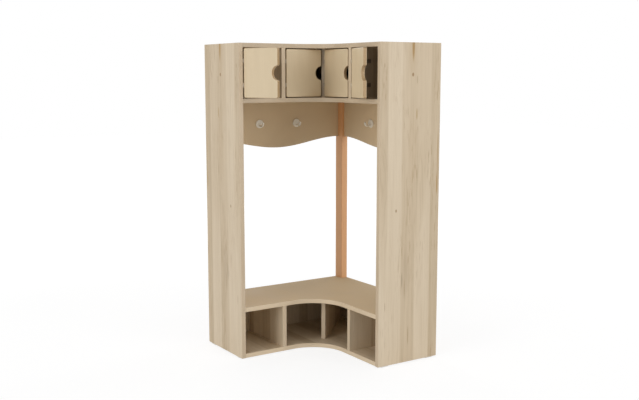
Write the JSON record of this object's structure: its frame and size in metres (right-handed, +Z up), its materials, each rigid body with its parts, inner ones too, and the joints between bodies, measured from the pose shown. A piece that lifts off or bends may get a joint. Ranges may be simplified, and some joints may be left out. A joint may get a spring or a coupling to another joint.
{
  "type": "corner coat unit",
  "caption": "Corner cloakroom unit: seat over open shoe compartments, coat hooks on wavy boards, and small compartments with notched doors at the top.",
  "frame": {"origin": "middle of the square floor space, at floor level", "axes": "+Z up; +X and +Y point at the two walls of the room corner, so the left wing stands against the +Y wall and the right wing against the +X wall"},
  "size_m": [0.708, 0.708, 1.304],
  "materials": {
    "planked_laminate": "light planked wood laminate, satin",
    "board_laminate": "light wood laminate, satin",
    "edge_banding": "wood-toned edge band, satin",
    "door_plywood": "lacquered birch plywood, satin",
    "hook_board_panel": "plain lacquered fibreboard, matt",
    "post_wood": "solid wood, clear lacquer",
    "thin_back": "thin hardboard, matt",
    "hook_metal": "satin cast metal",
    "hinge_steel": "zinc-plated steel",
    "zinc_fittings": "zinc die-cast",
    "dowel_wood": "fluted beech dowel",
    "pale_plastic": "moulded plastic"
  },
  "bodies": {
    "carcass": {"board_dowels": "dowel_wood", "bottom_board": "board_laminate", "bottom_board_edge": "edge_banding", "cam_bolts": "zinc_fittings", "cam_locks": "zinc_fittings", "corner_post": "post_wood", "divider_dowels": "dowel_wood", "divider_edges": "edge_banding", "door_stops": "pale_plastic", "foot_glides": "pale_plastic", "hinge_frame_leaves": "hinge_steel", "hinge_frame_screws": "hinge_steel", "hinge_pins": "hinge_steel", "hook_board_dowels": "dowel_wood", "hook_screws": "zinc_fittings", "left_hook_board": "hook_board_panel", "left_inner_coat_hook": "hook_metal", "left_outer_coat_hook": "hook_metal", "left_side_panel": "planked_laminate", "lower_centre_divider": "board_laminate", "lower_left_back": "thin_back", "lower_left_divider": "board_laminate", "lower_right_back": "thin_back", "lower_right_divider": "board_laminate", "post_dowels": "dowel_wood", "right_hook_board": "hook_board_panel", "right_inner_coat_hook": "hook_metal", "right_outer_coat_hook": "hook_metal", "right_side_panel": "planked_laminate", "seat_board": "board_laminate", "seat_board_edge": "edge_banding", "shelf_board": "board_laminate", "shelf_board_edge": "edge_banding", "side_panel_edges": "edge_banding", "top_board": "board_laminate", "top_board_edge": "edge_banding", "upper_centre_divider": "board_laminate", "upper_left_back": "thin_back", "upper_left_divider": "board_laminate", "upper_right_back": "thin_back", "upper_right_divider": "board_laminate"},
    "left_outer_door": {"left_outer_door": "door_plywood", "left_outer_door_hinge_leaves": "hinge_steel", "left_outer_door_hinge_screws": "hinge_steel"},
    "left_inner_door": {"left_inner_door": "door_plywood", "left_inner_door_hinge_leaves": "hinge_steel", "left_inner_door_hinge_screws": "hinge_steel"},
    "right_inner_door": {"right_inner_door": "door_plywood", "right_inner_door_hinge_leaves": "hinge_steel", "right_inner_door_hinge_screws": "hinge_steel"},
    "right_outer_door": {"right_outer_door": "door_plywood", "right_outer_door_hinge_leaves": "hinge_steel", "right_outer_door_hinge_screws": "hinge_steel"}
  },
  "joints": [
    {"name": "left_outer_door_hinge", "type": "hinge", "parent": "carcass", "child": "left_outer_door", "pos_m": [-0.3335, 0.05, 1.184], "axis": [0, 0, -1], "range_deg": [-69, 31]},
    {"name": "left_inner_door_hinge", "type": "hinge", "parent": "carcass", "child": "left_inner_door", "pos_m": [-0.1335, 0.05, 1.184], "axis": [0, 0, -1], "range_deg": [0, 90]},
    {"name": "right_inner_door_hinge", "type": "hinge", "parent": "carcass", "child": "right_inner_door", "pos_m": [0.05, 0.0435, 1.184], "axis": [0, 0, -1], "range_deg": [0, 60]},
    {"name": "right_outer_door_hinge", "type": "hinge", "parent": "carcass", "child": "right_outer_door", "pos_m": [0.05, -0.1565, 1.184], "axis": [0, 0, -1], "range_deg": [-20, 80]}
  ]
}
